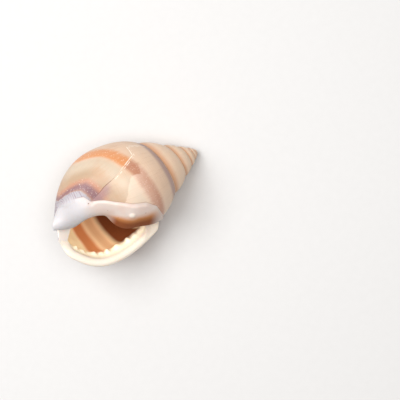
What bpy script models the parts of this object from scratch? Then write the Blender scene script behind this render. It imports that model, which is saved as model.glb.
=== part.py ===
# A small sea snail shell, smooth and banded, lying on its back with its mouth up.
#
# The shell is one solid. It is worked out upright, in its own frame in millimetres: the coiling
# axis is Z with the apex at the top, the outer lip stands on the +X side and the mouth looks
# along -Y. A growth angle runs down the coil from the apex and is 0 at the lip. The finished
# mesh is then laid on its back, the way the shell comes to rest on a table: the last turn and
# the tip of the spire touch it.

import bpy
import numpy as np
from math import pi, radians, tau
from mathutils import Matrix

LENGTH = 26.0                   # apex to front end, mm
GROWTH_PER_TURN = 1.6           # how much larger each turn is than the one before it
APEX_BLUNTNESS = 0.05           # share of the length by which the worn tip falls short of a point
SEAM = (0.254, 0.480)           # where the seam would meet the lip if it kept to the coil
SEAM_RISE = 1.4                 # how far it climbs just before the lip, mm
SEAM_RISE_START = 1.3           # radians before the lip where it begins to climb
SPIRE_TURNS = 5                 # turns modelled above the last one
LYING_DIP = 29.47               # degrees that the apex dips below level once it lies on the table
LYING_ROLL = -75.40             # degrees that the shell is rolled about its axis

FLARE = 1.05                    # how far the outer lip turns out, mm
FLARE_START = 0.62              # radians before the lip where it begins
FLARE_FADE = 0.10               # share of the outline over which it grows beside the seam
FLARE_AT_CANAL = 0.5            # share of it that is left at the canal, over the last FRONT_SHARE
WALL = 0.70                     # thickness of the wall inside the coil, mm
HEAVY_SIDE = 1.00               # share by which it is thicker on the side away from the lip
CALLUS = 0.28                   # thickness of the glaze on the inner lip, mm
CALLUS_EDGE = 0.22              # radians over which the glaze thins out at its edge
CALLUS_DEPTH = 0.9              # radians inside the mouth where it ends
CORNER_PAD = 0.6                # share by which the lip is thicker where it runs into the seam
CORNER_SPAN = (0.06, 0.20)      # shares of the outline between which that fades out
FRONT_THINNING = 0.6            # share by which the wall behind it is thinner at the front end
FRONT_WALL = 0.20               # share of the outline over which it thins
BEHIND_LIP = (0.3, 0.9)         # radians inside the lip over which its section becomes the wall's
TOOTH = 0.35                    # how far the small teeth stand up inside the outer lip, mm
TEETH_PER_LIP = 12              # how many of them would fit the whole outline
TEETH_ANGLE = (0.22, 0.12)      # where their row stands inside the lip and its half width, radians
TEETH_SPAN = (0.15, 0.88)       # shares of the outline where the row begins and ends
TEETH_FADE = 0.10               # share of the outline over which it does so
FRONT_GAP = 1.0                 # least width of the canal inside the shell, mm

ANGLES_PER_TURN = 36            # even steps round each turn
EXTRA_ANGLES = (0.08, 0.26, 5.85, 6.03, 6.21)   # closer steps beside the two lips
SEAM_ROWS = 4                   # rows of faces between two seams
BASE_ROWS = 20                  # rows from there to the front end
SEAM_ROWS_SHARE = 0.15          # share of the lip's outline that the seam rows cover
CAVITY_TURNS = 1.5              # how far the hollow is modelled up the coil
CAVITY_STEPS = 24               # rings in each turn of the hollow
CANAL_POINTS = 4                # points of each ring that cross the canal
FRONT_SHARE = 0.15              # share of the outline that belongs to the front end
FRONT_RADIUS = 3.3              # radius to which the solid front end fills the hollow, mm
PILLAR_FRONT = 25.1             # height at which the hollow's inner wall runs into it, mm
FRONT_RINGS = 5                 # rings over which the canal takes its inner shape
INNER_STEP = 0.02               # radians between the first rings on the inner lip
THIN_WALL = 0.7                 # share of its thickness that the wall keeps far up the coil
STAGGER_FADE = 0.12             # share of the outer wall over which it draws level with the inner one

# The outline of the last turn, as (radius, height below the ideal apex) in shares of the length.
# The first is the wall that the mouth opens against, a whole turn before the lip.
OUTLINES = {
    0.00: ((.159, .300), (.196, .345), (.229, .400), (.248, .462), (.239, .530), (.217, .600),
           (.197, .660), (.140, .708), (.068, .738), (.040, .785), (.036, .845), (.045, .895),
           (.056, .932), (.050, .965), (.030, 1.000), (.018, 1.030)),
    0.25: ((.179, .337), (.214, .381), (.241, .429), (.259, .480), (.266, .537), (.263, .593),
           (.249, .647), (.220, .697), (.180, .740), (.138, .780), (.105, .824), (.087, .872),
           (.078, .922), (.077, .975), (.070, 1.035), (.046, 1.080)),
    0.50: ((.201, .379), (.226, .410), (.247, .450), (.266, .505), (.277, .570), (.281, .635),
           (.275, .700), (.255, .762), (.224, .818), (.188, .862), (.152, .900), (.122, .930),
           (.098, .955), (.080, .976), (.066, .990), (.055, 1.000)),
    0.75: ((.226, .427), (.254, .452), (.277, .486), (.295, .536), (.306, .595), (.310, .660),
           (.306, .724), (.292, .785), (.267, .842), (.234, .890), (.196, .930), (.158, .962),
           (.126, .985), (.100, 1.000), (.082, 1.010), (.070, 1.018)),
    1.00: ((.238, .426), (.262, .455), (.284, .500), (.303, .555), (.320, .615), (.332, .680),
           (.337, .745), (.333, .805), (.319, .862), (.293, .910), (.258, .952), (.220, .986),
           (.186, 1.012), (.150, 1.030), (.120, 1.040), (.100, 1.045)),
}

# The lip in section, from its outer edge inwards: growth angle and inset from the outline, mm.
LIP_SECTION = ((0.040, 0.20), (0.060, 0.50), (0.060, 0.85), (0.035, 1.15), (-0.040, 1.30),
               (-0.140, 1.30), (-0.230, 1.22), (-0.290, 1.08), (-0.360, 0.95), (-0.450, 0.85),
               (-0.580, 0.78))

# The edge of the inner lip's glaze: height on the shell in shares of the length, and how many
# radians round from the mouth it reaches there.
GLAZE_EDGE = ((0.420, -1.0), (0.450, 0.50), (0.515, 1.08), (0.575, 1.29), (0.655, 1.38), (0.731, 1.58),
              (0.772, 1.75), (0.834, 1.97), (0.856, 2.30), (0.908, 2.57), (0.965, 2.94), (1.000, 3.60))


def scale_at(angle):
    return GROWTH_PER_TURN ** (angle / tau)


def seam(angle):
    """Radius and height of the seam, in mm. It lies on the turn above."""
    point = np.array(SEAM) * scale_at(angle) * LENGTH
    if angle > -SEAM_RISE_START:
        above = outline(angle - tau)
        point[1] -= SEAM_RISE * smooth(1 + angle / SEAM_RISE_START)
        point[0] = np.interp(point[1], above[:, 1], above[:, 0])
    return point


def spline(points, places):
    """A natural cubic curve through the points, read at places from 0 to 1 along it."""
    points = np.asarray(points, float)
    steps = np.hypot(*np.diff(points, axis=0).T)
    knots = np.concatenate([[0.0], np.cumsum(steps)]) / steps.sum()
    gaps = np.diff(knots)
    count = len(points)
    system = np.eye(count)
    target = np.zeros((count, 2))
    slopes = np.diff(points, axis=0) / gaps[:, None]
    for i in range(1, count - 1):
        system[i, i - 1:i + 2] = gaps[i - 1], 2 * (gaps[i - 1] + gaps[i]), gaps[i]
        target[i] = 6 * (slopes[i] - slopes[i - 1])
    bends = np.linalg.solve(system, target)
    span = np.clip(np.searchsorted(knots, places, side="right") - 1, 0, count - 2)
    gap = gaps[span][:, None]
    after = (places - knots[span])[:, None]
    before = gap - after
    return ((bends[span] * before ** 3 + bends[span + 1] * after ** 3) / (6 * gap)
            + (points[span] / gap - bends[span] * gap / 6) * before
            + (points[span + 1] / gap - bends[span + 1] * gap / 6) * after)


def outline(angle, count=200):
    """The outer outline of the coil at a growth angle, from its seam to the front end, mm."""
    keys = sorted(OUTLINES)
    grown = [np.array(OUTLINES[key]) / scale_at((key - 1) * tau) for key in keys]
    share = angle / tau + 1
    if share <= 0:
        shape = grown[0]
    else:
        i = min(max(np.searchsorted(keys, share, side="right") - 1, 0), len(keys) - 2)
        width = keys[i + 1] - keys[i]
        f = (share - keys[i]) / width
        slopes = [np.zeros_like(grown[0])]
        for j in range(1, len(keys) - 1):
            slopes.append((grown[j + 1] - grown[j - 1]) / (keys[j + 1] - keys[j - 1]))
        slopes.append((grown[-1] - grown[-2]) / (keys[-1] - keys[-2]))
        shape = ((2 * f ** 3 - 3 * f ** 2 + 1) * grown[i] + (f ** 3 - 2 * f ** 2 + f) * width * slopes[i]
                 + (3 * f ** 2 - 2 * f ** 3) * grown[i + 1] + (f ** 3 - f ** 2) * width * slopes[i + 1])
    shape = shape * scale_at(angle)
    shape[0] = seam(angle) / LENGTH
    return spline(shape, np.linspace(0, 1, count)) * LENGTH


def smooth(share):
    share = np.clip(share, 0.0, 1.0)
    return share * share * (3 - 2 * share)


def arc_shares(line):
    steps = np.hypot(*np.diff(line, axis=0).T)
    return np.concatenate([[0.0], np.cumsum(steps)]) / steps.sum()


def resample(line, shares):
    along = arc_shares(line)
    return np.stack([np.interp(shares, along, line[:, 0]), np.interp(shares, along, line[:, 1])], axis=-1)


def outward(line):
    """Unit normals of an outline that runs down the shell, pointing away from the axis."""
    runs = np.gradient(line, axis=0)
    runs /= np.linalg.norm(runs, axis=1)[:, None]
    return np.stack([runs[:, 1], -runs[:, 0]], axis=-1)


def place(points, angle):
    """Outline points (radius, height below the ideal apex) at a growth angle, as 3-D points."""
    blunt = APEX_BLUNTNESS * LENGTH
    drop = np.sqrt(points[:, 1] ** 2 + blunt ** 2) - blunt
    return np.stack([points[:, 0] * np.cos(angle), -points[:, 0] * np.sin(angle), -drop], axis=-1)


def flared(angle):
    """The outline with the lip's turned-out edge added, which fades at the seam and at the canal."""
    line = outline(angle)
    along = arc_shares(line)
    amount = FLARE * smooth((angle + FLARE_START) / FLARE_START) * smooth(along / FLARE_FADE)
    amount *= 1 - (1 - FLARE_AT_CANAL) * smooth((along - 1 + FRONT_SHARE) / FRONT_SHARE)
    return line + outward(line) * amount[:, None]


def glazed(line, turned):
    """The outline with the inner lip's glaze on it, at an angle past the edge of the mouth."""
    heights, reach = np.transpose(GLAZE_EDGE)
    left = np.interp(line[:, 1] / LENGTH, heights, reach) - max(turned, 0)
    thick = CALLUS * smooth(left / CALLUS_EDGE) * smooth(1 + turned / CALLUS_DEPTH)
    return line + outward(line) * thick[:, None]


def row_shares(split):
    upper = np.linspace(0, split, SEAM_ROWS + 1)
    lower = np.linspace(split, 1, BASE_ROWS + 1)
    return np.concatenate([upper, lower[1:]])


def body_column(angle):
    """One column of the last turn, from its seam down to the edge of the canal."""
    line = glazed(flared(angle), angle + tau)
    start = np.interp(seam(0.0)[1], line[:, 1], arc_shares(line))
    blend = smooth((angle + tau) / tau)
    points = resample(line, row_shares(start + (SEAM_ROWS_SHARE - start) * blend))
    return place(points, angle)


def spire_column(angle):
    """One column of an earlier turn, from its own seam to the seam of the turn below it."""
    line = outline(angle)
    end = np.interp(seam(angle + tau)[1], line[:, 1], arc_shares(line))
    return place(resample(line, np.linspace(0, end, SEAM_ROWS + 1)), angle)


def teeth(along, angle):
    """Height of the row of small teeth just inside the outer lip."""
    middle, half = TEETH_ANGLE
    start, end = TEETH_SPAN
    row = smooth(1 - abs(angle + middle) / half)
    row = row * smooth((along - start) / TEETH_FADE) * smooth((end - along) / TEETH_FADE)
    return TOOTH * row * np.cos(along * pi * TEETH_PER_LIP) ** 2


def hollow_ring(outer_angle, inset, inner_angle, depth):
    """One ring round the hollow: down the outer wall, over the canal and back up the inner wall.

    The depth runs from 0 at the rim to 1 where the canal has taken its inner width."""
    outer = flared(outer_angle)
    along = arc_shares(outer)
    behind = smooth((-outer_angle - BEHIND_LIP[0]) / (BEHIND_LIP[1] - BEHIND_LIP[0]))
    near_seam = smooth((CORNER_SPAN[1] - along) / (CORNER_SPAN[1] - CORNER_SPAN[0]))
    pad = CORNER_PAD * near_seam * (1 - behind)
    thinning = FRONT_THINNING * smooth((along - 1 + FRONT_WALL) / FRONT_WALL) * behind
    thick = inset * (1 + pad - thinning) + teeth(along, outer_angle)
    outer = outer - outward(outer) * thick[:, None]
    inner = glazed(outline(inner_angle), inner_angle + tau)
    pillar = np.vstack([inner, [inner[-1, 0], 2 * LENGTH]])
    gap = outer[:, 0] - np.interp(outer[:, 1], pillar[:, 1], pillar[:, 0])
    along = arc_shares(outer)
    widest = np.argmax(gap)
    top = np.interp(0, gap[:widest], along[:widest])
    narrow = np.interp(-FRONT_GAP, -gap[widest:], along[widest:])
    size = scale_at(outer_angle)
    floor = np.interp(-FRONT_RADIUS * size, -outer[widest:, 0], along[widest:])
    front = 1 + (min(narrow, floor) - 1) * depth
    outer = resample(outer, top + (front - top) * row_shares(SEAM_ROWS_SHARE))
    low = inner[-1, 1] + (min(outer[-1, 1], PILLAR_FRONT * size) - inner[-1, 1]) * depth
    reach = np.interp([outer[0, 1], low], pillar[:, 1], arc_shares(pillar))
    inner = resample(pillar, np.linspace(reach[1], reach[0], BASE_ROWS + 1))
    across = np.linspace(0, 1, CANAL_POINTS + 2)[1:-1]
    canal = outer[-1] + (inner[0] - outer[-1]) * across[:, None]
    ring = np.concatenate([outer, canal, inner[:-1]])
    # Beside the rim the outer wall stands ahead of the inner one, but not at its two ends.
    part_way = np.linspace(0, 1, len(outer))
    ends = smooth(part_way / STAGGER_FADE) * smooth((1 - part_way) / STAGGER_FADE)
    ahead = (outer_angle - inner_angle - tau) * ends
    angles = inner_angle + tau + np.concatenate([ahead, np.zeros(len(ring) - len(outer))])
    return place(ring, angles)


def shell_mesh():
    """The points, in millimetres, and the faces of the whole shell."""
    steps = np.sort(np.concatenate([np.arange(ANGLES_PER_TURN) * tau / ANGLES_PER_TURN, EXTRA_ANGLES]))
    turn = len(steps)
    last = SEAM_ROWS + BASE_ROWS
    points = []
    faces = []

    def add(new):
        points.extend(new)
        return list(range(len(points) - len(new), len(points)))

    def sheet(left, right, rows):
        for row in range(rows):
            faces.append((left[row], right[row], right[row + 1], left[row + 1]))

    # The spire: the last point of a column is the first point of the column one turn further on.
    columns = []
    for above in range(SPIRE_TURNS + 1, 1, -1):
        for step in steps:
            column = spire_column(step - above * tau)
            if len(columns) < turn:
                columns.append(add(column))
            else:
                columns.append([columns[-turn][-1]] + add(column[1:]))
    spire = len(columns)
    # The last turn. Its first column ends the spire, down to the corner where the lip comes back.
    for step in steps:
        column = body_column(step - tau)
        columns.append([columns[-turn][-1]] + add(column[1:]))
    corner = columns[spire][SEAM_ROWS]
    columns.append([corner] + add(body_column(0.0)[1:]))
    for i in range(len(columns) - 1):
        sheet(columns[i], columns[i + 1], SEAM_ROWS if i < spire else last)

    # The worn tip.
    tip = add([np.array([0.0, 0.0, 0.0])])[0]
    for i in range(turn):
        faces.append((tip, columns[i + 1][0], columns[i][0]))
    for row in range(SEAM_ROWS):
        faces.append((tip, columns[0][row], columns[0][row + 1]))

    # The rim: down the outer lip, round the edge of the canal and up the inner lip.
    canal = [column[last] for column in columns[-2:spire:-1]]
    rim = columns[-1] + canal + columns[spire][:SEAM_ROWS:-1]
    sections = list(LIP_SECTION)
    deepest = sections[-1][0]
    count = int(CAVITY_TURNS * CAVITY_STEPS)
    for angle in np.linspace(deepest, -CAVITY_TURNS * tau, count)[1:]:
        heavy = 1 + HEAVY_SIDE * max(-np.cos(angle), 0)
        sections.append((angle, WALL * heavy * max(scale_at(angle), THIN_WALL)))
    loop = rim
    for k, (angle, inset) in enumerate(sections):
        inner_angle = min(angle, -INNER_STEP * (k + 1)) - tau
        ring = add(hollow_ring(angle, inset, inner_angle, smooth((k + 1) / FRONT_RINGS)))
        if loop is rim:
            sheet(rim, ring, last)
            bridge(faces, rim[last:last + len(canal) + 2], ring[last:last + CANAL_POINTS + 2])
            sheet((rim + rim[:1])[last + len(canal) + 1:], (ring + ring[:1])[last + CANAL_POINTS + 1:],
                  BASE_ROWS)
        else:
            sheet(loop + loop[:1], ring + ring[:1], len(ring))
        loop = ring
    end = add([np.mean([points[i] for i in loop], axis=0)])[0]
    for i in range(len(loop)):
        faces.append((loop[i], end, loop[(i + 1) % len(loop)]))
    return np.array(points), faces


def bridge(faces, many, few):
    """Joins the canal's edge to the few points of the first ring. Its far half meets the last one."""
    i = j = 0
    while i < len(many) - 1 or j < len(few) - 1:
        if j == len(few) - 1 or (i + 1) * (len(few) - 1) * 2 <= (j + 1) * (len(many) - 1):
            faces.append((many[i], few[j], many[i + 1]))
            i += 1
        else:
            faces.append((many[i], few[j], few[j + 1]))
            j += 1


def lie_down(points):
    """Lays the shell on its back the way it rests, its lowest point on the ground, in metres."""
    turn = Matrix.Rotation(radians(LYING_ROLL), 3, "Z")
    lean = Matrix.Rotation(radians(90 + LYING_DIP), 3, "Y")
    points = points @ np.array(lean @ turn).T
    low = points.min(axis=0)
    high = points.max(axis=0)
    middle = (low + high) / 2
    return (points - (middle[0], middle[1], low[2])) / 1000


def nacre():
    """Glossy cream, the ground colour of the shell."""
    material = bpy.data.materials.new("shell")
    material.use_nodes = True
    shader = material.node_tree.nodes["Principled BSDF"]
    shader.inputs["Base Color"].default_value = (0.82, 0.66, 0.48, 1.0)
    shader.inputs["Roughness"].default_value = 0.28
    return material


def main():
    for thing in list(bpy.data.objects):
        bpy.data.objects.remove(thing)
    points, faces = shell_mesh()
    mesh = bpy.data.meshes.new("shell")
    mesh.from_pydata(lie_down(points).tolist(), [], faces)
    mesh.polygons.foreach_set("use_smooth", [True] * len(mesh.polygons))
    mesh.materials.append(nacre())
    shell = bpy.data.objects.new("shell", mesh)
    bpy.context.scene.collection.objects.link(shell)


main()
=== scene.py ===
# %% [markdown]
# # A small banded sea snail shell
#
# The shell is one thing, grown in one piece. Its solid is already packed as the node `shell`,
# laid on its back with its mouth up. This lesson puts a finely modelled shell of the same shape
# in its place, and gives it the glossy, banded finish of the real one.

from math import radians, tau

import bmesh
import bpy
import numpy as np
from mathutils import Matrix, Vector


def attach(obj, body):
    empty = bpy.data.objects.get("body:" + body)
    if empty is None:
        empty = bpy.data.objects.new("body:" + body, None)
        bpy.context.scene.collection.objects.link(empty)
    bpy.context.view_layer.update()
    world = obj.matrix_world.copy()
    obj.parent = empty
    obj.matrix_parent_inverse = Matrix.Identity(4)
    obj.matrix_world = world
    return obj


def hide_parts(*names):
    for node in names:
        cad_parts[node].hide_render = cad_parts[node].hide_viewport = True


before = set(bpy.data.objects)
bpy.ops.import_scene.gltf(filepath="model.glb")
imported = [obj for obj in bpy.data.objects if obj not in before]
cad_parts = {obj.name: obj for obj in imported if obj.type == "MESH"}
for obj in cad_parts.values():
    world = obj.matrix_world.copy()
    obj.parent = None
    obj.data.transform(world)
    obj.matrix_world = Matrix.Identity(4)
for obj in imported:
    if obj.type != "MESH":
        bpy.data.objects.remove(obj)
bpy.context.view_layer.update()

# %% [markdown]
# ## How a shell grows
#
# A snail adds to the edge of its shell's mouth, and grows a little wider with each bit that it
# adds. So one outline, turned round an axis and enlarged all the time, makes the whole shell.
# Sculpting a spiral by eye never looks grown, so the shape is worked out with this rule. Lengths
# are in millimetres here, with the apex at the origin and the axis along Z. A growth angle of 0
# is the outer lip, and the angles are negative further up the coil.

# %% The measures of the coil
LENGTH = 26.0              # apex to front end, mm
GROWTH_PER_TURN = 1.6      # how much larger each turn is than the one before it
APEX_BLUNTNESS = 0.05      # share of the length by which the worn tip falls short of a point
SEAM = (0.254, 0.480)      # where the seam would meet the lip if it kept to the coil
SEAM_RISE = 1.4            # how far it climbs just before the lip, mm
SEAM_RISE_START = 1.3      # radians before the lip where it begins to climb
SPIRE_TURNS = 7            # turns modelled above the last one


def scale_at(angle):
    """Size of the coil at a growth angle, as a share of its size at the lip."""
    return GROWTH_PER_TURN ** (angle / tau)


def smooth(share):
    """Rises from 0 to 1 with a soft start and end."""
    share = np.clip(share, 0.0, 1.0)
    return share * share * (3 - 2 * share)


print("each turn is", GROWTH_PER_TURN, "times as large as the one before")

# %% [markdown]
# ## The outline of the last turn
#
# Five outlines, a quarter of a turn apart, hold the shape of the last turn: radius and height
# below the tip, in shares of the length. Between them the shape changes smoothly. The first is
# the wall that the mouth opens against, and the last is the outer lip.

# %% Outlines
OUTLINES = {
    0.00: ((.159, .300), (.196, .345), (.229, .400), (.248, .462), (.239, .530), (.217, .600),
           (.197, .660), (.140, .708), (.068, .738), (.040, .785), (.036, .845), (.045, .895),
           (.056, .932), (.050, .965), (.030, 1.000), (.018, 1.030)),
    0.25: ((.179, .337), (.214, .381), (.241, .429), (.259, .480), (.266, .537), (.263, .593),
           (.249, .647), (.220, .697), (.180, .740), (.138, .780), (.105, .824), (.087, .872),
           (.078, .922), (.077, .975), (.070, 1.035), (.046, 1.080)),
    0.50: ((.201, .379), (.226, .410), (.247, .450), (.266, .505), (.277, .570), (.281, .635),
           (.275, .700), (.255, .762), (.224, .818), (.188, .862), (.152, .900), (.122, .930),
           (.098, .955), (.080, .976), (.066, .990), (.055, 1.000)),
    0.75: ((.226, .427), (.254, .452), (.277, .486), (.295, .536), (.306, .595), (.310, .660),
           (.306, .724), (.292, .785), (.267, .842), (.234, .890), (.196, .930), (.158, .962),
           (.126, .985), (.100, 1.000), (.082, 1.010), (.070, 1.018)),
    1.00: ((.238, .426), (.262, .455), (.284, .500), (.303, .555), (.320, .615), (.332, .680),
           (.337, .745), (.333, .805), (.319, .862), (.293, .910), (.258, .952), (.220, .986),
           (.186, 1.012), (.150, 1.030), (.120, 1.040), (.100, 1.045)),
}
OUTLINE_POINTS = 240


def spline(points, places):
    """A natural cubic curve through the points, read at places from 0 to 1 along it."""
    points = np.asarray(points, float)
    steps = np.hypot(*np.diff(points, axis=0).T)
    knots = np.concatenate([[0.0], np.cumsum(steps)]) / steps.sum()
    gaps = np.diff(knots)
    count = len(points)
    system = np.eye(count)
    target = np.zeros((count, 2))
    slopes = np.diff(points, axis=0) / gaps[:, None]
    for i in range(1, count - 1):
        system[i, i - 1:i + 2] = gaps[i - 1], 2 * (gaps[i - 1] + gaps[i]), gaps[i]
        target[i] = 6 * (slopes[i] - slopes[i - 1])
    bends = np.linalg.solve(system, target)
    span = np.clip(np.searchsorted(knots, places, side="right") - 1, 0, count - 2)
    gap = gaps[span][:, None]
    after = (places - knots[span])[:, None]
    before = gap - after
    return ((bends[span] * before ** 3 + bends[span + 1] * after ** 3) / (6 * gap)
            + (points[span] / gap - bends[span] * gap / 6) * before
            + (points[span + 1] / gap - bends[span + 1] * gap / 6) * after)


def seam(angle):
    """Radius and height of the seam. It lies on the turn above, and climbs just before the lip."""
    point = np.array(SEAM) * scale_at(angle) * LENGTH
    if angle > -SEAM_RISE_START:
        above = outline(angle - tau)
        point[1] -= SEAM_RISE * smooth(1 + angle / SEAM_RISE_START)
        point[0] = np.interp(point[1], above[:, 1], above[:, 0])
    return point


def outline(angle):
    """The outline of the coil at a growth angle, from its seam to the front end."""
    keys = sorted(OUTLINES)
    grown = [np.array(OUTLINES[key]) / scale_at((key - 1) * tau) for key in keys]
    share = angle / tau + 1
    if share <= 0:
        shape = grown[0]
    else:
        i = min(max(np.searchsorted(keys, share, side="right") - 1, 0), len(keys) - 2)
        width = keys[i + 1] - keys[i]
        f = (share - keys[i]) / width
        slopes = [np.zeros_like(grown[0])]
        for j in range(1, len(keys) - 1):
            slopes.append((grown[j + 1] - grown[j - 1]) / (keys[j + 1] - keys[j - 1]))
        slopes.append((grown[-1] - grown[-2]) / (keys[-1] - keys[-2]))
        shape = ((2 * f ** 3 - 3 * f ** 2 + 1) * grown[i] + (f ** 3 - 2 * f ** 2 + f) * width * slopes[i]
                 + (3 * f ** 2 - 2 * f ** 3) * grown[i + 1] + (f ** 3 - f ** 2) * width * slopes[i + 1])
    shape = shape * scale_at(angle)
    shape[0] = seam(angle) / LENGTH
    return spline(shape, np.linspace(0, 1, OUTLINE_POINTS)) * LENGTH


print("the last turn ends", round(outline(0.0)[-1, 1], 1), "mm below the tip")

# %% [markdown]
# ## Moving along an outline
#
# These helpers walk along an outline by shares of its length, find which way is outwards, and
# turn a point of the outline round the axis to its place.

# %% Walk along an outline


def arc_shares(line):
    """How far along an outline each of its points is, as a share of the whole."""
    steps = np.hypot(*np.diff(line, axis=0).T)
    return np.concatenate([[0.0], np.cumsum(steps)]) / steps.sum()


def resample(line, shares):
    """The points of an outline at some shares of its length."""
    along = arc_shares(line)
    return np.stack([np.interp(shares, along, line[:, 0]), np.interp(shares, along, line[:, 1])], axis=-1)


def outward(line):
    """For each point of an outline, a step of 1 mm away from the axis and square to the outline."""
    runs = np.gradient(line, axis=0)
    runs /= np.linalg.norm(runs, axis=1)[:, None]
    return np.stack([runs[:, 1], -runs[:, 0]], axis=-1)


def place(points, angle):
    """Points of an outline, turned round the axis to a growth angle."""
    blunt = APEX_BLUNTNESS * LENGTH
    drop = np.sqrt(points[:, 1] ** 2 + blunt ** 2) - blunt
    return np.stack([points[:, 0] * np.cos(angle), -points[:, 0] * np.sin(angle), -drop], axis=-1)


print("the tip of the spire is blunt by", APEX_BLUNTNESS * LENGTH, "mm")

# %% [markdown]
# ## The lip and the white glaze
#
# When the snail stops growing, it turns the lip of the mouth outwards and thickens it, and it
# spreads a layer of white glaze over the wall on the other side. Both are added to the outline
# before it is turned into a surface, so they flow out of the shell with no join.

# %% Lip and glaze
FLARE = 1.05               # how far the outer lip turns out, mm
FLARE_START = 0.62         # radians before the lip where it begins
FLARE_FADE = 0.10          # share of the outline over which it grows beside the seam
FLARE_AT_CANAL = 0.5       # share of it that is left at the canal, over the last FRONT_SHARE
FRONT_SHARE = 0.15
CALLUS = 0.28              # thickness of the glaze on the inner lip, mm
CALLUS_DEPTH = 0.9         # radians inside the mouth where it ends
# Its edge: shares of the length below the tip, and radians round from the mouth.
GLAZE_EDGE = ((0.420, -1.0), (0.450, 0.50), (0.515, 1.08), (0.575, 1.29), (0.655, 1.38), (0.731, 1.58),
              (0.772, 1.75), (0.834, 1.97), (0.856, 2.30), (0.908, 2.57), (0.965, 2.94), (1.000, 3.60))
GLAZE_RADIUS = 7.0         # mm for each radian, where lengths round the coil are wanted
CRISP_EDGE = 0.10          # radians over which the glaze thins out at its edge
SOFT_EDGE = 0.70           # the same on the front end
SOFTENS = (0.80, 0.88)     # heights between which one becomes the other


def flared(angle):
    """The outline with the lip's turned-out edge, which fades at the seam and at the canal."""
    line = outline(angle)
    along = arc_shares(line)
    amount = FLARE * smooth((angle + FLARE_START) / FLARE_START) * smooth(along / FLARE_FADE)
    amount *= 1 - (1 - FLARE_AT_CANAL) * smooth((along - 1 + FRONT_SHARE) / FRONT_SHARE)
    return line + outward(line) * amount[:, None]


def glaze_reach(heights, turned):
    """How far inside the edge of the glaze a point is, in radians. It is negative outside it."""
    edge_heights, reach = np.transpose(GLAZE_EDGE)
    return np.interp(heights / LENGTH, edge_heights, reach) - np.maximum(turned, 0)


def glazed(line, turned):
    """The outline with the inner lip's glaze on it, at an angle past the edge of the mouth."""
    left = glaze_reach(line[:, 1], turned)
    softer = smooth((line[:, 1] / LENGTH - SOFTENS[0]) / (SOFTENS[1] - SOFTENS[0]))
    edge = CRISP_EDGE + (SOFT_EDGE - CRISP_EDGE) * softer
    thick = CALLUS * smooth(left / edge) * smooth(1 + turned / CALLUS_DEPTH)
    return line + outward(line) * thick[:, None]


print("the glaze is", CALLUS, "mm thick")

# %% [markdown]
# ## Rolled sheets
#
# A flat grid has the right number of corners for a strip of shell, so each strip starts as
# Blender's grid primitive, and every vertex of it is then moved to its place on the coil. The
# grid is fine, because the edge of the glaze and the small teeth are only a fraction of a
# millimetre wide.
#
# Each vertex also keeps a few numbers, which the finish reads later to paint the shell:
# - turned: radians round from the mouth, and across: the share along the outline
# - bands: the same share, drawn out to suit the colour bands
# - into: mm over the rim into the hollow, and lining: 1 on the hollow's outer wall and canal
# - glaze, veil and layer: mm inside the edge of the glaze, of the veil and of its chalky patch

# %% Roll a grid onto the shell
LYING_DIP = 29.47          # degrees that the apex dips below level
LYING_ROLL = -75.40        # degrees that the shell is rolled about its axis
LAID_MIDDLE = (-11.7198, -1.0370, -0.6575)   # point under its middle, before it is moved there, mm
MARKS = ("turned", "across", "bands", "into", "lining", "glaze", "veil", "layer")
COVERED = {"veil": GLAZE_RADIUS, "layer": GLAZE_RADIUS}    # marks of places that both layers cover


def laid_down(points):
    """Lays points of the upright shell on its back, in metres."""
    turn = Matrix.Rotation(radians(LYING_ROLL), 3, "Z")
    lean = Matrix.Rotation(radians(90 + LYING_DIP), 3, "Y")
    return (points @ np.array(lean @ turn).T - LAID_MIDDLE) / 1000


def rolled_sheet(name, points, marks):
    """A grid of the primitive, with its vertices on the points: one column for each growth angle."""
    columns, rows = points.shape[:2]
    bpy.ops.object.select_all(action="DESELECT")
    bpy.ops.mesh.primitive_grid_add(x_subdivisions=columns - 1, y_subdivisions=rows - 1, size=0.01)
    sheet = bpy.context.object
    sheet.name = name
    laid = laid_down(points.transpose(1, 0, 2).reshape(-1, 3))
    sheet.data.vertices.foreach_set("co", laid.reshape(-1))
    for mark in MARKS:
        values = np.broadcast_to(marks.get(mark, 0.0), (columns, rows))
        layer = sheet.data.attributes.new(mark, "FLOAT", "POINT")
        layer.data.foreach_set("value", values.T.astype(np.float32).reshape(-1))
    print(name, columns, "x", rows, "points")
    return sheet


# %% [markdown]
# ## The outside
#
# Two sheets make the outside. One winds down the spire, from seam to seam. The other is the last
# turn, from its seam to the front end. Where they meet at a seam, both use the same points.

# %% The spire and the last turn
COLUMNS = 280              # for each turn
SEAM_ROWS = 14             # rows between two seams
BASE_ROWS = 120            # rows from there to the front end
SEAM_ROWS_SHARE = 0.15     # share of the lip's outline that the seam rows cover
SPIRE_BANDS = 0.195        # share of the bands that a turn of the spire leaves in sight


def row_shares(split):
    """Where the rows of the last turn lie along its outline."""
    upper = np.linspace(0, split, SEAM_ROWS + 1)
    lower = np.linspace(split, 1, BASE_ROWS + 1)
    return np.concatenate([upper, lower[1:]])


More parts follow.
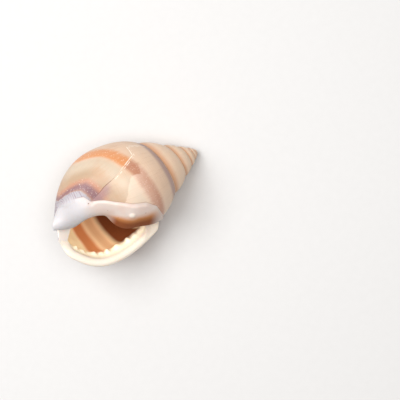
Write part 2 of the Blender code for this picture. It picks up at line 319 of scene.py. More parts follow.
def spire_sheet():
    """Points and marks of the turns above the last one."""
    angles = np.arange(-(SPIRE_TURNS + 1) * COLUMNS, -COLUMNS + 1) * tau / COLUMNS
    points = []
    across = []
    for angle in angles:
        line = outline(angle)
        end = np.interp(seam(angle + tau)[1], line[:, 1], arc_shares(line))
        across.append(np.linspace(0, end, SEAM_ROWS + 1))
        points.append(place(resample(line, across[-1]), angle))
        if len(points) > COLUMNS:
            points[-1][0] = points[-1 - COLUMNS][-1]
    across = np.array(across)
    bands = SPIRE_BANDS * across / across[:, -1:]
    # A point on a seam is in both turns, so it gets the mark that it has in the turn above.
    bands[COLUMNS:, 0] = SPIRE_BANDS
    marks = {"turned": angles[:, None] + tau, "across": across, "bands": bands,
             "into": -GLAZE_RADIUS, "glaze": -GLAZE_RADIUS, **COVERED}
    return np.array(points), marks


spire_points, spire_marks = spire_sheet()
print("the spire has", spire_points.shape[0] * spire_points.shape[1], "points")

# %% [markdown]
# ## The old edge of the veil, and the way the bands run
#
# Right of a slanting line, a thin clear layer lies over the bands and makes them paler. Its edge
# ends in a small chip near the seam. The line is kept as points of height and of radians round
# from the mouth, and every vertex is marked with its distance from it. The second line bounds a
# chalky patch in the same way.
#
# Seen from the seam, the two colour bands don't keep to one place all the way round. So a short
# table says how far along the outline each of them is, at some angles from the mouth on. A mark
# that is drawn out to suit has the same value all along a band.

# %% Distance from a line on the shell
VEIL_EDGE = ((0.900, 1.90), (0.834, 1.97), (0.802, 2.01), (0.751, 2.09), (0.700, 2.11), (0.643, 2.18),
             (0.587, 2.26), (0.519, 2.38), (0.510, 2.55), (0.504, 2.72), (0.437, 2.69), (0.300, 2.60))
LAYER_EDGE = ((0.380, 2.02), (0.505, 2.10), (0.528, 2.11), (0.544, 1.94), (0.599, 1.97), (0.640, 1.80),
              (0.720, 1.20), (0.760, 0.60))
HIGH_BAND = 0.235          # the value that the mark has along the upper band
LOW_BAND = 0.61            # and along the lower one
BAND_LINES = ((0.0, 0.235, 0.61), (1.2, 0.238, 0.61), (1.5, 0.256, 0.612), (2.0, 0.287, 0.618),
              (2.3, 0.33, 0.64), (2.55, 0.36, 0.672), (2.75, 0.39, 0.73), (2.95, 0.45, 0.80),
              (3.2, 0.52, 0.865), (3.5, 0.53, 0.90), (4.4, 0.45, 0.80), (6.28, 0.305, 0.70))


def beside(line, turned, heights):
    """Distance in mm from a line on the shell, positive on the side of the mouth."""
    here = np.stack([turned * GLAZE_RADIUS, heights], axis=-1)
    ends = np.array([(reach * GLAZE_RADIUS, height * LENGTH) for height, reach in line])
    nearest = np.full(turned.shape, np.inf)
    for start, end in zip(ends[:-1], ends[1:]):
        run = end - start
        step = np.clip(((here - start) @ run) / (run @ run), 0, 1)
        nearest = np.minimum(nearest, np.linalg.norm(here - start - step[..., None] * run, axis=-1))
    order = np.argsort(ends[:, 1], kind="stable")
    reach = np.interp(heights, ends[order, 1], ends[order, 0])
    return np.where(turned * GLAZE_RADIUS < reach, nearest, -nearest)


def along_bands(turned, across):
    """The share along the outline, drawn out so that both bands keep to one value all round."""
    rounds, *lines = np.transpose(BAND_LINES)
    high, low = [np.interp(turned, rounds, line) for line in lines]
    middle = HIGH_BAND + (LOW_BAND - HIGH_BAND) * (across - high) / (low - high)
    below = LOW_BAND + (1 - LOW_BAND) * (across - low) / (1 - low)
    return np.where(across < high, HIGH_BAND * across / high, np.where(across < low, middle, below))


def body_sheet():
    """Points and marks of the last turn."""
    angles = np.arange(-COLUMNS, 1) * tau / COLUMNS
    points = []
    across = []
    heights = []
    for i, angle in enumerate(angles):
        line = glazed(flared(angle), angle + tau)
        start = np.interp(seam(0.0)[1], line[:, 1], arc_shares(line))
        blend = smooth((angle + tau) / tau)
        across.append(row_shares(start + (SEAM_ROWS_SHARE - start) * blend))
        flat = resample(line, across[-1])
        heights.append(flat[:, 1])
        points.append(place(flat, angle))
        points[-1][0] = spire_points[-1 - COLUMNS + i][-1]
    points[0][:SEAM_ROWS + 1] = spire_points[-1]
    across = np.array(across)
    heights = np.array(heights)
    turned = angles[:, None] + tau + np.zeros_like(across)
    marks = {"turned": turned, "across": across, "bands": along_bands(turned, across),
             "into": angles[:, None] * GLAZE_RADIUS,
             "glaze": glaze_reach(heights, turned) * GLAZE_RADIUS,
             "veil": beside(VEIL_EDGE, turned, heights), "layer": beside(LAYER_EDGE, turned, heights)}
    # Its seam is the spire's last row, so those points get the marks that they have there.
    for mark in ("turned", "across", "bands"):
        marks[mark][:, 0] = np.broadcast_to(spire_marks[mark], spire_points.shape[:2])[-1 - COLUMNS:, -1]
    return np.array(points), marks


body_points, body_marks = body_sheet()
print("the last turn has", body_points.shape[0] * body_points.shape[1], "points")

# %% [markdown]
# ## The lip and the hollow
#
# The lip in section is a short curve: out over the rim, down a slope, over a row of small teeth
# and into the hollow. Each ring of the hollow runs down the outer wall, over the canal at the
# front and back up the inner wall. The rings follow the coil for a turn and a half, far past
# anything that can be seen, and end in a cap.

# %% The section of the lip
LIP_SECTION = ((0.0, 0.0), (0.040, 0.20), (0.060, 0.50), (0.060, 0.85), (0.035, 1.15), (-0.040, 1.30),
               (-0.140, 1.30), (-0.230, 1.22), (-0.290, 1.08), (-0.360, 0.95), (-0.450, 0.85),
               (-0.580, 0.78))
LIP_RADIUS = 8.0           # mm for each radian, where the lip's section is measured
LIP_RINGS = 54             # rings over that section
NEAR_RINGS = (0.04, 1.2, 24)   # first and last step behind it in radians, and their number
FAR_START = 1.35           # radians behind it where the wider steps start
FAR_RINGS = 44
WALL = 0.70                # thickness of the wall inside the coil, mm
WALL_BLEND = 0.3           # radians over which the lip's thickness becomes the wall's
HEAVY_SIDE = 1.0           # share by which it is thicker on the side away from the lip
THIN_WALL = 0.7            # share of its thickness that the wall keeps far up the coil
CAVITY_TURNS = 1.5         # how far the hollow goes up the coil
FRONT_GAP = 1.0            # least width of the canal inside the shell, mm
FRONT_RADIUS = 3.3         # radius to which the solid front end fills the hollow, mm
PILLAR_FRONT = 25.1        # height at which the hollow's inner wall runs into it, mm
FRONT_RINGS = 5            # rings over which the canal takes its inner shape
LINING_STARTS = 0.3        # mm over the rim where the lining's mark reaches 1
INNER_STEP = 0.02          # radians between the first rings on the inner lip
CANAL_POINTS = 14          # points of each ring that cross the canal
CORNER_PAD = 1.0           # share by which the lip is thicker where it runs into the seam
CORNER_SPAN = (0.06, 0.20)     # shares of the outline between which that fades out
FRONT_THINNING = 0.6       # share by which the wall behind it is thinner at the front end
FRONT_WALL = 0.20          # share of the outline over which it thins
BEHIND_LIP = (0.3, 0.9)    # radians inside the lip over which its section becomes the wall's
STAGGER_FADE = 0.12        # share of the outer wall over which it draws level with the inner one
TOOTH = 0.42               # how far the largest teeth stand up, mm
TEETH_PER_LIP = 12         # how many of them would fit the whole outline
TEETH_ANGLE = (0.20, 0.10)     # where their row stands inside the lip and its half width, radians
TEETH_SPAN = (0.15, 0.90)  # shares of the outline where the row begins and ends
TEETH_FADE = 0.10          # share of the outline over which it does so
TEETH_SWAY = (1.4, 23)     # how far and how often they stray from even places, radians
TEETH_UNEVEN = (0.3, 61)   # how much and how often they differ in height


def lip_rings():
    """Growth angle, inset, place in the section and distance from the edge, for each ring."""
    section = np.array(LIP_SECTION) * (LIP_RADIUS, 1.0)
    shares = np.linspace(0, 1, LIP_RINGS + 1)
    curve = spline(section, shares)
    steps = np.hypot(*np.diff(section, axis=0).T)
    knots = np.concatenate([[0.0], np.cumsum(steps)]) / steps.sum()
    number = np.interp(shares, knots, np.arange(len(section)))
    rings = [(x / LIP_RADIUS, inset, n, s * steps.sum()) for (x, inset), n, s in zip(curve, number, shares)]
    angle, inset, number, into = rings[-1]
    far = np.linspace(FAR_START, CAVITY_TURNS * tau + angle, FAR_RINGS)
    for step in np.concatenate([np.linspace(*NEAR_RINGS), far]):
        heavy = 1 + HEAVY_SIDE * max(-np.cos(angle - step), 0)
        wall = WALL * heavy * max(scale_at(angle - step), THIN_WALL)
        wall += (inset - wall) * (1 - smooth(step / WALL_BLEND))
        rings.append((angle - step, wall, number + 1, into + step * LIP_RADIUS))
    return rings


def teeth(along, angle):
    """Height of the row of small uneven teeth just inside the outer lip."""
    middle, half = TEETH_ANGLE
    start, end = TEETH_SPAN
    row = smooth(1 - abs(angle + middle) / half)
    row = row * smooth((along - start) / TEETH_FADE) * smooth((end - along) / TEETH_FADE)
    sway = TEETH_SWAY[0] * np.sin(along * TEETH_SWAY[1])
    waves = 0.5 + 0.5 * np.cos(along * tau * TEETH_PER_LIP + sway)
    lower = TEETH_UNEVEN[0] * (1 - np.sin(along * TEETH_UNEVEN[1] + 1.0))
    return TOOTH * row * waves * (1 - lower)


def hollow_ring(outer_angle, inset, number):
    """The outer wall, the canal and the inner wall of a ring, and the inner wall's growth angle.

    The walls come with the share along the outline of each point, the inner one with heights too."""
    inner_angle = min(outer_angle, -INNER_STEP * number) - tau
    depth = smooth(number / FRONT_RINGS)
    outer = flared(outer_angle)
    along = arc_shares(outer)
    behind = smooth((-outer_angle - BEHIND_LIP[0]) / (BEHIND_LIP[1] - BEHIND_LIP[0]))
    near_seam = smooth((CORNER_SPAN[1] - along) / (CORNER_SPAN[1] - CORNER_SPAN[0]))
    pad = CORNER_PAD * near_seam * (1 - behind)
    thinning = FRONT_THINNING * smooth((along - 1 + FRONT_WALL) / FRONT_WALL) * behind
    thick = inset * (1 + pad - thinning) + teeth(along, outer_angle)
    outer = outer - outward(outer) * thick[:, None]
    inner = glazed(outline(inner_angle), inner_angle + tau)
    pillar = np.vstack([inner, [inner[-1, 0], 2 * LENGTH]])
    gap = outer[:, 0] - np.interp(outer[:, 1], pillar[:, 1], pillar[:, 0])
    along = arc_shares(outer)
    widest = np.argmax(gap)
    top = np.interp(0, gap[:widest], along[:widest])
    narrow = np.interp(-FRONT_GAP, -gap[widest:], along[widest:])
    size = scale_at(outer_angle)
    floor = np.interp(-FRONT_RADIUS * size, -outer[widest:, 0], along[widest:])
    front = 1 + (min(narrow, floor) - 1) * depth
    outer_across = top + (front - top) * row_shares(SEAM_ROWS_SHARE)
    outer = resample(outer, outer_across)
    low = inner[-1, 1] + (min(outer[-1, 1], PILLAR_FRONT * size) - inner[-1, 1]) * depth
    reach = np.interp([outer[0, 1], low], pillar[:, 1], arc_shares(pillar))
    inner_across = np.linspace(reach[1], reach[0], BASE_ROWS + 1) / arc_shares(pillar)[-2]
    inner = resample(pillar, np.linspace(reach[1], reach[0], BASE_ROWS + 1))
    shares = np.linspace(0, 1, CANAL_POINTS + 2)
    canal = outer[-1] + (inner[0] - outer[-1]) * shares[:, None]
    # Beside the rim the outer wall stands ahead of the inner one, but not at its two ends.
    part_way = np.linspace(0, 1, len(outer))
    ends = smooth(part_way / STAGGER_FADE) * smooth((1 - part_way) / STAGGER_FADE)
    ahead = (outer_angle - inner_angle - tau) * ends
    outer_points = place(outer, inner_angle + tau + ahead)
    inner_points = place(inner, inner_angle + tau)
    inner_points[-1] = outer_points[0]
    canal_points = place(canal, inner_angle + tau)
    inner_wall = (inner_points, inner_across, inner[:, 1])
    return (outer_points, outer_across), canal_points, inner_wall, inner_angle


def hollow_sheets():
    """The outer wall, the canal and the inner wall of the hollow, each as points and marks."""
    outer = [(body_points[-1], body_marks["across"][-1])]
    edge_across = body_marks["across"][0]
    inner = [(np.concatenate([body_points[0, :SEAM_ROWS:-1], body_points[-1, :1]]),
              np.concatenate([edge_across[:SEAM_ROWS:-1], edge_across[SEAM_ROWS:SEAM_ROWS + 1]]))]
    canal = []
    rings = lip_rings()
    inner_turned = [0.0]
    inner_heights = [np.zeros(BASE_ROWS + 1)]
    for angle, inset, number, into in rings[1:]:
        outer_wall, canal_row, inner_wall, inner_angle = hollow_ring(angle, inset, number)
        outer.append(outer_wall)
        canal.append(canal_row)
        inner.append(inner_wall[:2])
        inner_turned.append(inner_angle + tau)
        inner_heights.append(inner_wall[2])
    inner_heights[0] = inner_heights[1]
    into = np.array([ring[3] for ring in rings])[:, None]
    angles = np.array([ring[0] for ring in rings])[:, None]
    turned = np.array(inner_turned)[:, None]
    outer_points, outer_across = map(np.array, zip(*outer))
    outer_marks = {"turned": angles + tau, "across": outer_across, "bands": outer_across,
                   "into": into, "lining": smooth(into / LINING_STARTS),
                   "glaze": -GLAZE_RADIUS, **COVERED}
    canal_marks = {"turned": tau, "across": 1.0, "bands": 1.0, "into": into[1:], "lining": 1.0,
                   "glaze": GLAZE_RADIUS, **COVERED}
    left = glaze_reach(np.array(inner_heights), turned) - np.minimum(turned, 0)
    inner_points, inner_across = map(np.array, zip(*inner))
    inner_marks = {"turned": turned, "across": inner_across, "bands": inner_across,
                   "into": -GLAZE_RADIUS, "glaze": left * GLAZE_RADIUS, **COVERED}
    return (outer_points, outer_marks), (np.array(canal), canal_marks), (inner_points, inner_marks)


outer_wall, canal_wall, inner_wall = hollow_sheets()
print("the hollow has", len(canal_wall[0]), "rings")

# %% [markdown]
# ## One closed shell
#
# A real shell has no seams between its sheets. So they are joined into one object, and the points
# that they share are merged by distance.

# %% Join the sheets
MERGE_DISTANCE = 2e-7      # m, far less than any two points that stay apart


def snail_shell():
    """Rolls all the sheets and makes one object of them."""
    sheets = [rolled_sheet("spire", spire_points, spire_marks),
              rolled_sheet("last_turn", body_points, body_marks),
              rolled_sheet("outer_wall", *outer_wall),
              rolled_sheet("canal", *canal_wall),
              rolled_sheet("inner_wall", *inner_wall)]
    bpy.ops.object.select_all(action="DESELECT")
    for sheet in sheets:
        sheet.select_set(True)
    bpy.context.view_layer.objects.active = sheets[1]
    bpy.ops.object.join()
    shell = bpy.context.object
    shell.name = "banded_shell"
    shell.data.name = "banded_shell"
    bpy.ops.object.mode_set(mode="EDIT")
    bpy.ops.mesh.select_all(action="SELECT")
    bpy.ops.mesh.remove_doubles(threshold=MERGE_DISTANCE)
    bpy.ops.object.mode_set(mode="OBJECT")
    return shell


shell = snail_shell()
print(len(shell.data.vertices), "vertices after merging")

# %% [markdown]
# ## Closing the gaps
#
# The canal's edge has many more points than the first ring inside it. Blender's bridge tool wants
# the same number on both sides, so that strip is filled with triangles, one side and then the
# other stepping on. The tip and the far end of the hollow are filled too, and each of those faces
# is poked, which turns it into a fan round its middle.

# %% Fill the canal's edge and the two ends


def vertex_at(form, point):
    """The vertex nearest to a point of the upright shell."""
    spot = Vector(laid_down(np.array([point]))[0])
    return min(form.verts, key=lambda vertex: (vertex.co - spot).length_squared)


def edge_chain(start, end):
    """The open edges from one vertex to another, as a row of vertices."""
    chains = []
    for edge in [e for e in start.link_edges if e.is_boundary]:
        chain = [start]
        while chain[-1] != end and edge is not None:
            chain.append(edge.other_vert(chain[-1]))
            onward = [e for e in chain[-1].link_edges if e.is_boundary and e != edge]
            edge = onward[0] if onward else None
            if chain[-1] == start:
                break
        if chain[-1] == end:
            chains.append(chain)
    return sorted(chains, key=len)


def fill_canal_edge(shell):
    """Fills the strip between the canal's edge and the first ring inside it."""
    form = bmesh.new()
    form.from_mesh(shell.data)
    lip_end = vertex_at(form, body_points[-1, -1])
    pillar_end = vertex_at(form, body_points[0, -1])
    few, many = edge_chain(lip_end, pillar_end)
    print("canal edge", len(many), "points, first ring", len(few))
    few = few[1:-1]
    i = 0
    j = 0
    while i < len(many) - 1 or j < len(few) - 1:
        turn_of_many = i < len(many) - 1 and 2 * (i + 1) * (len(few) - 1) <= (j + 1) * (len(many) - 1)
        if turn_of_many or j == len(few) - 1:
            form.faces.new((many[i], few[j], many[i + 1]))
            i += 1
        else:
            form.faces.new((many[i], few[j], few[j + 1]))
            j += 1
    form.to_mesh(shell.data)
    form.free()


def close_ends():
    """Fills the tip and the far end of the hollow, and turns all faces out."""
    bpy.ops.object.mode_set(mode="EDIT")
    bpy.ops.mesh.select_all(action="SELECT")
    bpy.ops.mesh.fill_holes(sides=0)
    bpy.ops.mesh.select_all(action="DESELECT")
    bpy.ops.mesh.select_face_by_sides(number=4, type="GREATER")
    bpy.ops.mesh.poke()
    bpy.ops.mesh.select_all(action="SELECT")
    bpy.ops.mesh.normals_make_consistent(inside=False)
    bpy.ops.object.mode_set(mode="OBJECT")


fill_canal_edge(shell)
close_ends()
shell.data.calc_loop_triangles()
print(len(shell.data.loop_triangles), "triangles")

# %% [markdown]
# ## Writing a finish as sums
#
# The colour of a real shell is in the shell itself: bands of pigment that run along the coil,
# under a clear porcelain gloss. A painted picture would stretch on a spiral, so the pattern is
# worked out by shader nodes from the numbers kept on each vertex. Two small classes keep that
# readable: one lets Python's signs add Math nodes, and the other makes any node.

# %% Values and nodes


class Value:
    """A number that changes over the surface."""

    def __init__(self, finish, socket):
        self.finish = finish
        self.socket = socket

    def maths(self, operation, first, second):
        node = self.finish.make("ShaderNodeMath", {"operation": operation}, {0: first, 1: second})
        return Value(self.finish, node.outputs[0])

    def __add__(self, other):
        return self.maths("ADD", self, other)

    def __sub__(self, other):
        return self.maths("SUBTRACT", self, other)

    def __rsub__(self, other):
        return self.maths("SUBTRACT", other, self)

    def __mul__(self, other):
        return self.maths("MULTIPLY", self, other)

    __radd__ = __add__
    __rmul__ = __mul__


class Finish:
    """A material and the few kinds of node that its pattern needs."""

    def __init__(self, name):
        self.material = bpy.data.materials.new(name)
        self.material.use_nodes = True
        self.tree = self.material.node_tree
        self.shader = self.tree.nodes["Principled BSDF"]

    def set(self, socket, value):
        """Links a value to a socket, or writes a plain number or colour there."""
        value = getattr(value, "socket", value)
        if isinstance(value, bpy.types.NodeSocket):
            self.tree.links.new(value, socket)
        else:
            socket.default_value = value

    def make(self, kind, settings, inputs):
        node = self.tree.nodes.new(kind)
        for name, value in settings.items():
            setattr(node, name, value)
        for key, value in inputs.items():
            self.set(node.inputs[key], value)
        return node

    def mark(self, name):
        """One of the numbers kept on each vertex."""
        return Value(self, self.make("ShaderNodeAttribute", {"attribute_name": name}, {}).outputs["Fac"])

    def object_place(self):
        return self.make("ShaderNodeTexCoord", {}, {}).outputs["Object"]

    def step(self, value, start, end):
        """Rises smoothly from 0 to 1 between two values."""
        node = self.make("ShaderNodeMapRange", {"interpolation_type": "SMOOTHSTEP"},
                         {"Value": value, "From Min": start, "From Max": end})
        return Value(self, node.outputs[0])

    def band(self, value, start, end, soft):
        """1 between two values, with soft edges."""
        return self.step(value, start - soft, start + soft) * (1 - self.step(value, end - soft, end + soft))

    def noise(self, where, scale, detail):
        node = self.make("ShaderNodeTexNoise", {}, {"Vector": where, "Scale": scale, "Detail": detail})
        return Value(self, node.outputs[0])

    def streaks(self, first, second, detail):
        """Noise over two values, drawn out along the one that is multiplied by less."""
        where = self.make("ShaderNodeCombineXYZ", {}, {"X": first, "Y": second})
        return self.noise(where.outputs[0], 1.0, detail)

    def distance(self, where, point):
        node = self.make("ShaderNodeVectorMath", {"operation": "DISTANCE"}, {0: where, 1: point})
        return Value(self, node.outputs["Value"])

    def over(self, under, colour, share):
        """One colour laid over another, by a share."""
        node = self.make("ShaderNodeMix", {"data_type": "RGBA"}, {0: share, 6: under, 7: colour})
        return node.outputs[2]


def paint(red, green, blue):
    """A colour picked on the screen, from 0 to 255, as the shader wants it."""
    shares = np.array((red, green, blue)) / 255
    straight = np.where(shares <= 0.04045, shares / 12.92, ((shares + 0.055) / 1.055) ** 2.4)
    return (*straight.tolist(), 1.0)


nacre = Finish("banded_nacre")
step, band, over = nacre.step, nacre.band, nacre.over
print("finish", nacre.material.name)

# %% [markdown]
# ## Where the pattern lies
#
# The bands run along the coil, and their mark was worked out with the last turn's sheet.
# Growth lines run the other way, from the seam to the front end, and fine threads follow the
# coil. Broad clouds keep the ground colour from being even. A few small pits and one pale knob
# in the glaze are given by their places on the last turn.

# %% Marks and streaks
CLOUDS = 260.0             # scales of the noise, for each metre
GRAINS = 1500.0
SPECKLES = 5200.0
PITS = ((1.94, 0.710, 0.00012), (0.95, 0.537, 0.00010),     # radians round from the mouth,
        (1.04, 0.344, 0.00010), (1.30, 0.600, 0.00008))     # share along the outline, reach in m
KNOB = (1.05, 0.440, 0.00070)
SPOT_CORE = 0.3            # share of a spot's reach over which it is full


def spot(turned, across, reach):
    """1 at a place on the last turn, falling to 0 at a distance."""
    column = round(turned / tau * COLUMNS)
    row = np.argmin(abs(body_marks["across"][column] - across))
    point = laid_down(body_points[column, row][None])[0].tolist()
    return 1 - step(nacre.distance(OBJECT_PLACE, point), SPOT_CORE * reach, reach)


TURNED, ACROSS, BANDS, INTO, LINING, GLAZE, VEIL, LAYER = [nacre.mark(name) for name in MARKS]
OBJECT_PLACE = nacre.object_place()
CLOUD = nacre.noise(OBJECT_PLACE, CLOUDS, 3.0)
GRAIN = nacre.noise(OBJECT_PLACE, GRAINS, 3.0)
GROWTH = nacre.streaks(TURNED * 34, ACROSS * 5, 4.0)
THREADS = nacre.streaks(TURNED * 2.2, ACROSS * 110, 3.0)
SPECKS = step(nacre.noise(OBJECT_PLACE, SPECKLES, 1.0), 0.64, 0.72) * 0.4
IN_PITS = sum([spot(*pit) for pit in PITS], 0)
ON_KNOB = spot(*KNOB)
ON_SPIRE = 1 - step(TURNED, -0.3, 0.3)
ALONG_BANDS = BANDS + 0.020 * (CLOUD - 0.5) + 0.016 * (GROWTH - 0.5)
print("nodes so far", len(nacre.tree.nodes))

# %% [markdown]
# ## The bands outside
#
# On a cream ground there are a lilac band under the seam, an orange band high on the turn, a
# broad band that goes from orange-brown to purple, and a white front end with purple threads.
# The turns of the spire are cream, and tan above each seam. Each colour is laid over the ones
# before it with a mask that has soft edges, and each band is a range of the band mark.

# %% Paint the outside
CREAM = paint(224, 194, 168)
CREAM_BETWEEN_BANDS = paint(206, 188, 166)
CREAM_ABOVE_BROWN = paint(184, 158, 132)
PAINTED_LIGHT_BY_MOUTH = paint(240, 214, 190)
# Painted light: a paler cream near the mouth, on the side that faces away from the main lamp.
CREAM_SPIRE = paint(234, 204, 176)
CLOUD_TAN = paint(200, 160, 128)
GROWTH_TAN = paint(198, 156, 124)
SEAM_TAN = paint(210, 160, 124)
LILAC = paint(148, 114, 118)
ORANGE = paint(216, 146, 94)
RUST = paint(164, 78, 36)
BROWN = paint(192, 142, 118)
PURPLE = paint(136, 104, 110)
FRONT_WHITE = paint(178, 173, 178)
FRONT_PURPLE = paint(146, 120, 132)
SPECK_WHITE = paint(255, 244, 232)
LILAC_BAND = (0.045, 0.090)    # shares along the outline between which it fades out
ORANGE_BAND = (0.19, 0.28)
BROWN_BAND = (0.545, 0.672)
PURPLE_PART = (0.56, 0.62)     # where brown turns into purple
FRONT_END = (0.668, 0.690)     # where purple turns into white


def ground():
    """Cream, with a few warmer clouds and growth lines."""
    colour = over(CREAM, CREAM_BETWEEN_BANDS, step(ALONG_BANDS, 0.26, 0.34))
    colour = over(colour, CREAM_ABOVE_BROWN, step(ALONG_BANDS, 0.38, 0.50))
    colour = over(colour, CLOUD_TAN, step(CLOUD, 0.45, 0.75) * 0.5)
    colour = over(colour, GROWTH_TAN, step(GROWTH, 0.52, 0.72) * 0.35)
    # Painted light: the ground is made paler near the mouth, away from the main lamp.
    colour = over(colour, PAINTED_LIGHT_BY_MOUTH, (1 - step(TURNED, 0.3, 1.3)) * 0.8)
    colour = over(colour, CREAM_SPIRE, ON_SPIRE)
    return over(colour, SEAM_TAN, ON_SPIRE * step(BANDS, 0.13, 0.19))


def banded(colour):
    """The bands of the last turn. Under the veil, the orange one is of a browner pigment."""
    under_seam = (1 - step(ACROSS, *LILAC_BAND)) * (1 - ON_SPIRE)
    colour = over(colour, LILAC, under_seam * (0.60 + 0.6 * THREADS))
    orange = band(ALONG_BANDS, *ORANGE_BAND, 0.022) * (1 - ON_SPIRE)
    pigment = over(ORANGE, RUST, step(VEIL, -0.1, 0.5))
    colour = over(colour, pigment, orange * (0.70 + 0.45 * GROWTH))
    brown = band(ALONG_BANDS, *BROWN_BAND, 0.030)
    colour = over(colour, BROWN, brown)
    purple = brown * step(ALONG_BANDS, *PURPLE_PART)
    colour = over(colour, PURPLE, purple * (0.55 + 0.7 * GROWTH))
    front = step(ALONG_BANDS, *FRONT_END)
    colour = over(colour, FRONT_WHITE, front)
    colour = over(colour, FRONT_PURPLE, front * step(THREADS, 0.46, 0.62) * 0.75)
    return over(colour, SPECK_WHITE, (1 - ON_SPIRE) * (orange + brown) * SPECKS)


bands_outside = banded(ground())
print("painted the outside")

# %% [markdown]
# ## The veil and the glaze
#
# A clear layer covers the bands right of a slanting line and makes them paler, with a chalky
# patch on it. Both pale colours are also partly painted light, which brightens that side of the
# shell, away from the main lamp. Along the line a highlight is painted above and a shadow below,
# for the layer's thin edge, and a row of pale dots runs beside it. The glaze beside the mouth is
# nearly white. Its edge is crisp, except on the front end, where it fades out.

# %% Paint the veil and the glaze
# The veil's cream is partly its own paler colour and partly painted light for the side away from the main
# lamp.
VEIL_CREAM_AND_PAINTED_LIGHT = paint(232, 204, 178)
# The chalky patch, whose pale colour is also partly painted light on the side away from the main lamp.
CHALK_AND_PAINTED_LIGHT = paint(255, 234, 216)
SMUDGE = paint(166, 130, 134)
# A painted highlight and a painted shadow along the veil's edge.
VEIL_EDGE_HIGHLIGHT = paint(255, 246, 234)
VEIL_EDGE_SHADOW = paint(112, 66, 44)
PALE_DOTS = paint(255, 248, 238)
GLAZE_SHADOW = paint(150, 104, 84)
MILK = paint(220, 208, 200)
CLOUDED_MILK = paint(218, 198, 188)
FRONT_MILK = paint(208, 205, 207)
STAINED_MILK = paint(206, 182, 168)
PIT_BROWN = paint(150, 100, 78)
KNOB_WHITE = paint(255, 246, 236)


def veiled(colour):
    """The clear layer, its edge with a painted highlight and shadow, and what lies along it."""
    veil = step(VEIL, -0.05, 0.06)
    below_spire = step(TURNED, -0.3, 0.3)
    # Paler under the veil, and partly painted light on this side, away from the main lamp.
    colour = over(colour, VEIL_CREAM_AND_PAINTED_LIGHT, veil * below_spire * (0.14 + 0.24 * THREADS))
    # The chalky patch, partly its own colour and partly painted light.
    chalk_and_painted_light = step(LAYER + 0.5 * (GRAIN - 0.5), -0.10, 0.12) * below_spire
    chalk_and_painted_light = chalk_and_painted_light * step(ACROSS, 0.14, 0.34) * (0.10 + 0.50 * GROWTH)
    colour = over(colour, CHALK_AND_PAINTED_LIGHT, chalk_and_painted_light)
    smudge = band(ACROSS, 0.51, 0.70, 0.04) * veil * (1 - step(VEIL, 0.6, 2.4))
    colour = over(colour, SMUDGE, smudge * (0.25 + 0.9 * GROWTH))
    # The veil's edge: a painted highlight above and a painted shadow below.
    line = band(VEIL, -0.06, 0.03, 0.04) * step(GRAIN, 0.30, 0.48)
    colour = over(colour, VEIL_EDGE_HIGHLIGHT, line * (1 - step(ACROSS, 0.30, 0.42)))
    colour = over(colour, VEIL_EDGE_SHADOW, line * band(ACROSS, 0.46, 0.62, 0.05))
    dots = band(VEIL, 0.24, 0.30, 0.03) * step(GRAIN, 0.48, 0.56)
    return over(colour, PALE_DOTS, dots * (1 - step(ACROSS, 0.40, 0.50)))


def under_glaze(colour):
    """White glaze, with an edge that is crisp except on the front end."""
    crisp = step(GLAZE, -0.06, 0.10)
    soft = step(GLAZE, -2.5, 2.5)
    front = step(ACROSS, 0.76, 0.84)
    edge = band(GLAZE, -0.12, 0.02, 0.06) * (1 - front)
    colour = over(colour, GLAZE_SHADOW, edge * 0.45)
    milk = over(MILK, CLOUDED_MILK, step(CLOUD, 0.42, 0.66))
    milk = over(milk, FRONT_MILK, step(ACROSS + 0.2 * (CLOUD - 0.5), 0.66, 0.80))
    milk = over(milk, STAINED_MILK, front * step(GROWTH, 0.55, 0.75) * 0.4)
    glaze = crisp + front * (soft - crisp)
    colour = over(colour, milk, glaze * (0.84 + 0.2 * CLOUD))
    colour = over(colour, PIT_BROWN, IN_PITS)
    return over(colour, KNOB_WHITE, ON_KNOB * 0.8)


glazed_outside = under_glaze(veiled(bands_outside))
print("painted the veil and the glaze")

# %% [markdown]
# ## The mouth
#
# The rim of the lip is pale cream. Behind its small teeth the lining is stained: the bands of
# the outside show there in dark brown and orange-brown on yellow. Inside the mouth the glaze
# on the other wall thins out to brown. The slope and the lining also give off a faint glow of
# their own colour: painted light that stands in for light coming through the thin lip and wall.

# %% Paint the mouth
RIM = paint(252, 242, 228)
CLOUDED_RIM = paint(244, 228, 208)
SLOPE = paint(255, 244, 218)
YELLOW_STAIN = paint(252, 224, 178)
TAN_STAIN = paint(206, 160, 118)
DARK_STAIN = paint(104, 52, 24)
ORANGE_STAIN = paint(200, 126, 78)
CANAL_WHITE = paint(238, 228, 218)
INNER_TAN = paint(204, 138, 84)
INNER_BROWN = paint(138, 74, 34)
# Painted light: the glow of the slope and the lining.
PAINTED_GLOW = paint(255, 236, 200)
NO_PAINTED_GLOW = (0.0, 0.0, 0.0, 1.0)
DARK_BAND = (0.19, 0.41)       # shares along the outline
TAN_BAND = (0.42, 0.54)
ORANGE_BROWN_BAND = (0.555, 0.690)

rim = step(INTO, -0.9, 0.5)
slope = step(INTO, 1.4, 2.6) * LINING
behind_teeth = step(INTO + 0.9 * (GROWTH - 0.5), 2.9, 4.0) * LINING
stain = over(YELLOW_STAIN, TAN_STAIN, band(ACROSS, *TAN_BAND, 0.05))
stain = over(stain, DARK_STAIN, band(ACROSS, *DARK_BAND, 0.035))
stain = over(stain, ORANGE_STAIN, band(ACROSS, *ORANGE_BROWN_BAND, 0.03))
inner_lip = step(GLAZE, 0.0, 0.3)
inward = inner_lip * (1 - LINING) * (1 - step(TURNED + 0.3 * (CLOUD - 0.5), 0.84, 1.12))


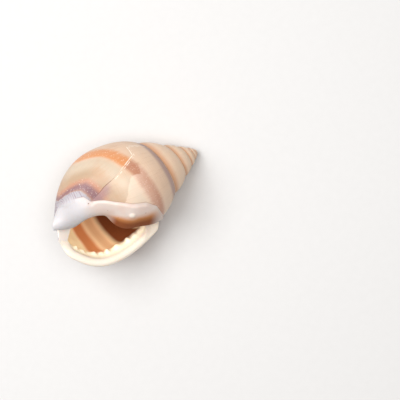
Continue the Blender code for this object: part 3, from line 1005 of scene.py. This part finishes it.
def mouth(colour):
    """The rim, the stained lining and the brown wall inside the glaze."""
    colour = over(colour, over(RIM, CLOUDED_RIM, CLOUD), rim)
    colour = over(colour, SLOPE, slope)
    colour = over(colour, stain, behind_teeth)
    colour = over(colour, CANAL_WHITE, inner_lip * LINING)
    brown = over(INNER_TAN, INNER_BROWN, 1 - step(TURNED, 0.65, 1.00))
    return over(colour, brown, inward * band(ACROSS, 0.27, 0.59, 0.05))


shell_colour = mouth(glazed_outside)
# Painted light: the slope and the stained lining glow in their own colours.
shell_painted_glow = over(over(NO_PAINTED_GLOW, PAINTED_GLOW, slope * 0.9), stain, behind_teeth)
print("painted the mouth")

# %% [markdown]
# ## Relief and gloss
#
# Growth lines and threads can also be felt: a Bump node lets the light catch them. The glaze is
# smoother, and the brown wall inside the mouth is dull and has no coat. Under the gloss a little
# light goes into the shell and comes out again, so it has some Subsurface, the same all over.

# %% Give it relief and gloss
RELIEF_HEIGHT = 0.00012    # m
SCATTER_DEPTH = 0.0010     # how far light goes under the surface, m


def relief():
    """Height of the growth lines, threads and spots, as a share of the relief."""
    rough_part = 1 - 0.8 * step(GLAZE, 0.0, 0.4)
    lines = rough_part * (0.55 * GROWTH + 0.45 * THREADS)
    return lines + 0.10 * GRAIN + 1.5 * ON_KNOB - 0.8 * IN_PITS


def dress_shell():
    bump = nacre.make("ShaderNodeBump", {}, {"Height": relief(), "Distance": RELIEF_HEIGHT, "Strength": 0.6})
    inputs = nacre.shader.inputs
    nacre.set(inputs["Base Color"], shell_colour)
    # Painted light: the emission makes the slope and the lining inside the mouth glow.
    nacre.set(inputs["Emission Color"], shell_painted_glow)
    nacre.set(inputs["Roughness"], 0.33 + 0.14 * GRAIN + 0.06 * CLOUD + 0.50 * inward)
    nacre.set(inputs["Coat Weight"], 0.08 - 0.08 * inward)
    nacre.set(inputs["Normal"], bump.outputs[0])
    inputs["Emission Strength"].default_value = 0.28
    inputs["Specular IOR Level"].default_value = 0.3
    inputs["Coat Roughness"].default_value = 0.12
    inputs["Subsurface Weight"].default_value = 0.22
    inputs["Subsurface Radius"].default_value = (1.0, 0.70, 0.50)
    inputs["Subsurface Scale"].default_value = SCATTER_DEPTH
    shell.data.materials.clear()
    shell.data.materials.append(nacre.material)
    bpy.ops.object.shade_smooth()


dress_shell()
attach(shell, "root")
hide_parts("shell")
print("the finish has", len(nacre.tree.nodes), "nodes")

# %% [markdown]
# ## The floor
#
# The shell lies on plain white paper, so nothing takes the eye from it. A large plane will do,
# with a faint noise in its colour for the fibres. It is the stage and no part of the shell.

# %% White paper
FLOOR_SIZE = 1.2           # m
PAPER = paint(217, 216, 215)
PAPER_FIBRE = paint(213, 212, 211)
bpy.ops.object.select_all(action="DESELECT")
bpy.ops.mesh.primitive_plane_add(size=FLOOR_SIZE)
floor = bpy.context.object
floor.name = "floor"
paper = Finish("white_paper")
fibres = paper.noise(paper.object_place(), 900.0, 4.0)
paper.set(paper.shader.inputs["Base Color"], paper.over(PAPER, PAPER_FIBRE, fibres))
paper.shader.inputs["Roughness"].default_value = 0.9
floor.data.materials.append(paper.material)
print("floor", floor.dimensions[:])

# %% [markdown]
# ## The light
#
# One large softbox stands high on the far left and throws the long soft shadow. A weaker one
# nearly overhead fills the side away from it, and pale light from all round softens the rest.
# Area lamps give such soft edges, and a Sun lamp would cut them sharp.

# %% Light
AMBIENT_COLOUR = (1.0, 0.96, 0.93, 1)
AMBIENT_STRENGTH = 0.28
world = bpy.data.worlds.new("studio")
bpy.context.scene.world = world
world.use_nodes = True
world.node_tree.nodes["Background"].inputs["Color"].default_value = AMBIENT_COLOUR
world.node_tree.nodes["Background"].inputs["Strength"].default_value = AMBIENT_STRENGTH


def softbox(name, size, energy, location):
    """A square area lamp that points at the shell."""
    light = bpy.data.lights.new(name, "AREA")
    light.size = size
    light.energy = energy
    lamp = bpy.data.objects.new(name, light)
    bpy.context.scene.collection.objects.link(lamp)
    lamp.location = location
    lamp.rotation_euler = Vector(location).to_track_quat("Z", "Y").to_euler()
    print(name, size, "m wide")


softbox("high_softbox", 0.20, 0.84, (-0.078, 0.104, 0.258))
softbox("fill_overhead", 0.12, 0.34, (0.05, -0.01, 0.29))

# %% [markdown]
# ## The camera
#
# The camera was worked out from the photograph: it looks almost straight down through a long
# lens, from 27 cm away. The Standard view keeps the white of the paper white.

# %% Camera
CAMERA_PLACE = (0.035847, -0.004113, 0.264818)
CAMERA_TURN = (radians(-3.0280), radians(5.0438), radians(-27.4545))
CAMERA_LENS = 154.8        # mm
bpy.context.scene.view_settings.view_transform = "Standard"
lens = bpy.data.cameras.new("camera")
lens.lens = CAMERA_LENS
lens.clip_start = 0.01
camera = bpy.data.objects.new("camera", lens)
bpy.context.scene.collection.objects.link(camera)
camera.location = CAMERA_PLACE
camera.rotation_euler = CAMERA_TURN
bpy.context.scene.camera = camera
print("camera", camera.location[:])
